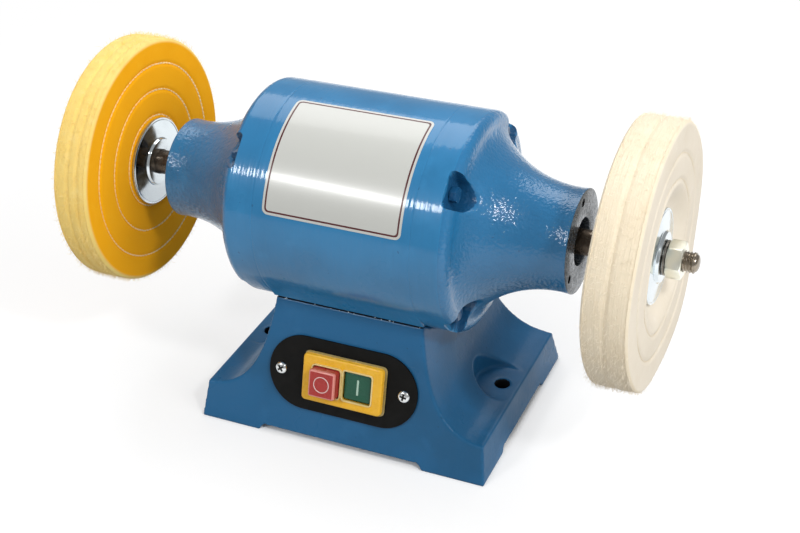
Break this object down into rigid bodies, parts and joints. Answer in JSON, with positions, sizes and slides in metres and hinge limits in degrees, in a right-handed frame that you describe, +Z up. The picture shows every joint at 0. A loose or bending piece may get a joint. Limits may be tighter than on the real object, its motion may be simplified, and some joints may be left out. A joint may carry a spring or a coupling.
{
  "type": "polishing machine",
  "caption": "Bench polishing machine: an induction motor on a scooped cast foot with a push-button switch, and a cloth buffing wheel clamped on each shaft end.",
  "frame": {"origin": "on the bench, under the middle of the shaft", "axes": "+X along the shaft towards the wheel beside the start button, the switch faces -Y, +Z up"},
  "size_m": [0.3872, 0.15, 0.21],
  "materials": {
    "blue_enamel": "glossy",
    "shaft_steel": "oiled",
    "zinc_plate": "satin",
    "bearing_steel": "polished",
    "lamination": "matte",
    "copper_wire": "varnished",
    "cast_aluminium": "as cast",
    "black_plastic": "matte",
    "yellow_plastic": "glossy",
    "red_plastic": "glossy",
    "green_plastic": "glossy",
    "clear_seal": "glossy",
    "white_plastic": "satin",
    "orange_cloth": "fuzzy",
    "cream_cloth": "fuzzy"
  },
  "bodies": {
    "machine": {"base": "blue_enamel", "stator_housing": "blue_enamel", "left_end_bell": "blue_enamel", "right_end_bell": "blue_enamel", "tie_bolt_1": "zinc_plate", "tie_bolt_2": "zinc_plate", "tie_bolt_3": "zinc_plate", "tie_bolt_4": "zinc_plate", "tie_nut_1": "zinc_plate", "tie_nut_2": "zinc_plate", "tie_nut_3": "zinc_plate", "tie_nut_4": "zinc_plate", "cradle_screw_1": "zinc_plate", "cradle_screw_2": "zinc_plate", "base_cover_screw_1": "zinc_plate", "base_cover_screw_2": "zinc_plate", "base_cover_screw_3": "zinc_plate", "base_cover_screw_4": "zinc_plate", "switch_plate_screw_left": "zinc_plate", "switch_plate_screw_right": "zinc_plate", "capacitor_clamp": "zinc_plate", "base_cover_plate": "zinc_plate", "left_bearing_outer_race": "bearing_steel", "right_bearing_outer_race": "bearing_steel", "wave_washer": "bearing_steel", "stator_core": "lamination", "stator_winding": "copper_wire", "switch_plate": "black_plastic", "switch_body": "black_plastic", "cable_inlet": "black_plastic", "cable_inlet_nut": "black_plastic", "switch_frame": "yellow_plastic", "switch_gasket": "clear_seal", "capacitor": "white_plastic", "terminal_block": "white_plastic"},
    "spindle": {"shaft": "shaft_steel", "rotor_core": "lamination", "rotor_cage": "cast_aluminium", "left_bearing_inner_race": "bearing_steel", "right_bearing_inner_race": "bearing_steel", "left_inner_flange": "zinc_plate", "right_inner_flange": "zinc_plate", "left_wheel": "orange_cloth", "right_wheel": "cream_cloth", "left_outer_flange": "zinc_plate", "right_outer_flange": "zinc_plate", "left_lock_washer": "zinc_plate", "right_lock_washer": "zinc_plate", "left_shaft_nut": "zinc_plate", "right_shaft_nut": "zinc_plate"},
    "left_ball_set": {"left_bearing_balls": "bearing_steel"},
    "right_ball_set": {"right_bearing_balls": "bearing_steel"},
    "stop_key": {"stop_button": "red_plastic", "stop_button_spring": "shaft_steel"},
    "start_key": {"start_button": "green_plastic", "start_button_spring": "shaft_steel"}
  },
  "joints": [
    {"name": "spindle_spin", "type": "hinge", "parent": "machine", "child": "spindle", "pos_m": [0, 0, 0.135], "axis": [1, 0, 0], "continuous": true},
    {"name": "left_ball_set_spin", "type": "hinge", "parent": "machine", "child": "left_ball_set", "pos_m": [0, 0, 0.135], "axis": [1, 0, 0], "continuous": true},
    {"name": "right_ball_set_spin", "type": "hinge", "parent": "machine", "child": "right_ball_set", "pos_m": [0, 0, 0.135], "axis": [1, 0, 0], "continuous": true},
    {"name": "stop_press", "type": "slide", "parent": "machine", "child": "stop_key", "axis": [0, 0.9596, -0.2812], "range_m": [0, 0.003], "stiffness_N_per_m": 500, "springref_m": -0.002},
    {"name": "start_press", "type": "slide", "parent": "machine", "child": "start_key", "axis": [0, 0.9596, -0.2812], "range_m": [0, 0.003], "stiffness_N_per_m": 500, "springref_m": -0.002}
  ],
  "couplings": [
    {"joint": "left_ball_set_spin", "follows": "spindle_spin", "ratio": 0.388},
    {"joint": "right_ball_set_spin", "follows": "spindle_spin", "ratio": 0.388}
  ]
}
